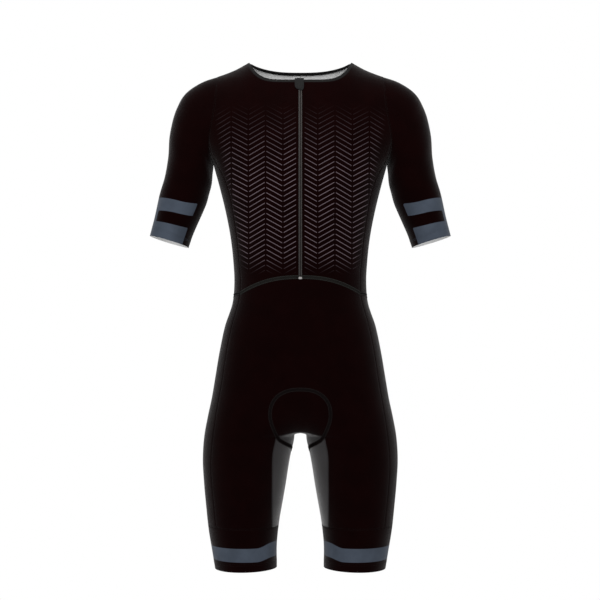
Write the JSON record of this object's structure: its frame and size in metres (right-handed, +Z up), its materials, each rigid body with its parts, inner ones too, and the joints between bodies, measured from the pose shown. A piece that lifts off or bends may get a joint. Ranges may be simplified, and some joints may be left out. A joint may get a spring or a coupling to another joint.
{
  "type": "short-sleeved triathlon suit",
  "caption": "Short-sleeved one-piece triathlon suit with a full front zip, filled out hollow as if worn, open at the neck, sleeves and legs.",
  "frame": {"origin": "middle of the line between the neck points of the two shoulders, where the wearer's shoulders hold the suit up", "axes": "+Z up, -Y out of the wearer's front, +X to the wearer's left"},
  "size_m": [0.5532, 0.2472, 0.9283],
  "materials": {
    "black_knit": "matte stretch knit",
    "binding": "matte folded strip",
    "grey_knit": "matte stretch knit",
    "zip": "woven tape and coil",
    "metal": "satin",
    "garage": "matte folded knit"
  },
  "bodies": {
    "root": {"front_left": "black_knit", "front_right": "black_knit", "back": "black_knit", "sleeve_left": "black_knit", "sleeve_right": "black_knit", "neck_binding": "binding", "zip_left": "zip", "zip_right": "zip", "zip_slider": "metal", "zip_garage": "garage", "zip_stop": "metal", "shorts_front": "black_knit", "shorts_back": "black_knit", "inner_leg_left": "grey_knit", "inner_leg_right": "grey_knit", "leg_cuff_left": "black_knit", "leg_cuff_right": "black_knit"}
  },
  "joints": []
}
